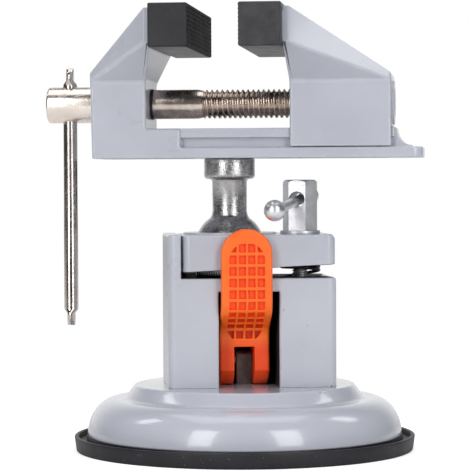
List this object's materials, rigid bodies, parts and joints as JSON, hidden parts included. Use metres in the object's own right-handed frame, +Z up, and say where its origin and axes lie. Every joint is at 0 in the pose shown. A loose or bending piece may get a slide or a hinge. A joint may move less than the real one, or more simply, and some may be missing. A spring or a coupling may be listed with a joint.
{
  "type": "suction base vise",
  "caption": "Small bench vise on a lever-operated suction base: a clamped ball lets the head tilt and turn, and a screw drives a sliding jaw with grooved rubber pads.",
  "frame": {"origin": "centre of the suction cup's underside, on the surface that the vise stands on", "axes": "+Z up, -Y towards the lever's side of the clamp block, +X towards the clamp screw"},
  "size_m": [0.1401, 0.125, 0.1613],
  "materials": {
    "grey_paint": "glossy grey paint on a casting",
    "cup_rubber": "black moulded rubber",
    "pad_rubber": "charcoal rubber with a grooved face",
    "lever_plastic": "orange moulded plastic",
    "raw_steel": "bare cast steel, slightly grainy",
    "zinc_steel": "bright zinc plate",
    "nickel_steel": "warm nickel plate",
    "black_steel": "blackened steel"
  },
  "bodies": {
    "base": {"base_dome": "grey_paint", "clamp_block": "grey_paint", "block_screws": "zinc_steel", "suction_cup": "cup_rubber", "clamp_spring": "black_steel"},
    "stem": {"pull_stem": "black_steel", "cup_insert": "zinc_steel", "lever_pin": "zinc_steel"},
    "lever": {"cam_lever": "lever_plastic"},
    "plate": {"clamp_plate": "grey_paint"},
    "washer": {"clamp_washer": "zinc_steel"},
    "clamp_screw": {"clamp_screw": "zinc_steel"},
    "clamp_bar": {"clamp_bar": "zinc_steel", "clamp_bar_end": "zinc_steel"},
    "stud": {"ball_stud": "raw_steel"},
    "head": {"vise_body": "grey_paint", "head_bolt": "black_steel", "fixed_jaw_pad": "pad_rubber"},
    "jaw": {"sliding_jaw": "grey_paint", "sliding_jaw_pad": "pad_rubber"},
    "screw": {"lead_screw": "nickel_steel", "retaining_ring": "black_steel"},
    "tommy": {"tommy_bar": "nickel_steel"}
  },
  "joints": [
    {"name": "lever_turn", "type": "hinge", "parent": "stem", "child": "lever", "pos_m": [0, 0, 0.033], "axis": [1, 0, 0], "range_deg": [0, 60]},
    {"name": "stem_lift", "type": "slide", "parent": "base", "child": "stem", "axis": [0, 0, 1], "range_m": [0, 0.00376], "deforming": ["suction_cup"]},
    {"name": "clamp_turn", "type": "hinge", "parent": "washer", "child": "clamp_screw", "pos_m": [0.0208, 0, 0.0915], "axis": [0, 0, 1], "range_deg": [0, 258]},
    {"name": "washer_lift", "type": "slide", "parent": "base", "child": "washer", "axis": [0, 0, 1], "range_m": [0, 0.0007]},
    {"name": "plate_tilt", "type": "hinge", "parent": "base", "child": "plate", "pos_m": [-0.0205, 0, 0.0646], "axis": [0, -1, 0], "range_deg": [0, 0.9], "deforming": ["clamp_spring"]},
    {"name": "clamp_bar_slide", "type": "slide", "parent": "clamp_screw", "child": "clamp_bar", "axis": [0.4267, 0.8947, 0.1323], "range_m": [0, 0.0181]},
    {"name": "ball_lean", "type": "hinge", "parent": "base", "child": "stud", "pos_m": [-0.0052, 0, 0.0743], "axis": [1, 0, 0], "range_deg": [-30, 30]},
    {"name": "head_swivel", "type": "hinge", "parent": "stud", "child": "head", "pos_m": [-0.0052, 0, 0.1067], "axis": [0, 0, 1], "continuous": true},
    {"name": "screw_turn", "type": "hinge", "parent": "head", "child": "screw", "pos_m": [-0.06341, 0.01184, 0.1267], "axis": [0.9799, -0.1994, 0], "range_deg": [-4172, 3338]},
    {"name": "jaw_slide", "type": "slide", "parent": "head", "child": "jaw", "axis": [0.9799, -0.1994, 0], "range_m": [-0.0176, 0.022]},
    {"name": "tommy_slide", "type": "slide", "parent": "screw", "child": "tommy", "axis": [0, 0, 1], "range_m": [0, 0.067]}
  ],
  "couplings": [
    {"joint": "lever_turn", "follows": "stem_lift", "rad_per_m": 277.78},
    {"joint": "clamp_turn", "follows": "washer_lift", "rad_per_m": 6283.2},
    {"joint": "plate_tilt", "follows": "washer_lift", "rad_per_m": 20.408},
    {"joint": "screw_turn", "follows": "jaw_slide", "rad_per_m": -3306.9}
  ]
}
